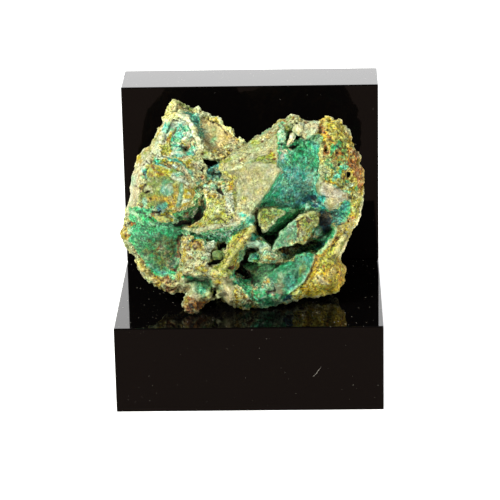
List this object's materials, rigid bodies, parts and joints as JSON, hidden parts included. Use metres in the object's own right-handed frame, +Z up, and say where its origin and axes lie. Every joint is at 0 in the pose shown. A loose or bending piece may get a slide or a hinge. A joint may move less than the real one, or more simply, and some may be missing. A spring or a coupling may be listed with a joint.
{
  "type": "altered bournonite specimen on a stand",
  "caption": "Lumpy mineral specimen with green, teal and yellow crusts over ochre matrix, leaning back a little on a polished black L-shaped block stand.",
  "frame": {"origin": "centre of the stand base's underside", "axes": "+Z up, front of the specimen and of the stand toward -Y, +X to the right seen from the front"},
  "size_m": [0.06, 0.06, 0.0653],
  "materials": {
    "mineral_crust": "matte, crusted in green, teal, cream and ochre",
    "black_acrylic": "polished, nearly black"
  },
  "bodies": {
    "root": {"specimen": "mineral_crust", "stand_base": "black_acrylic", "stand_back": "black_acrylic"}
  },
  "joints": []
}
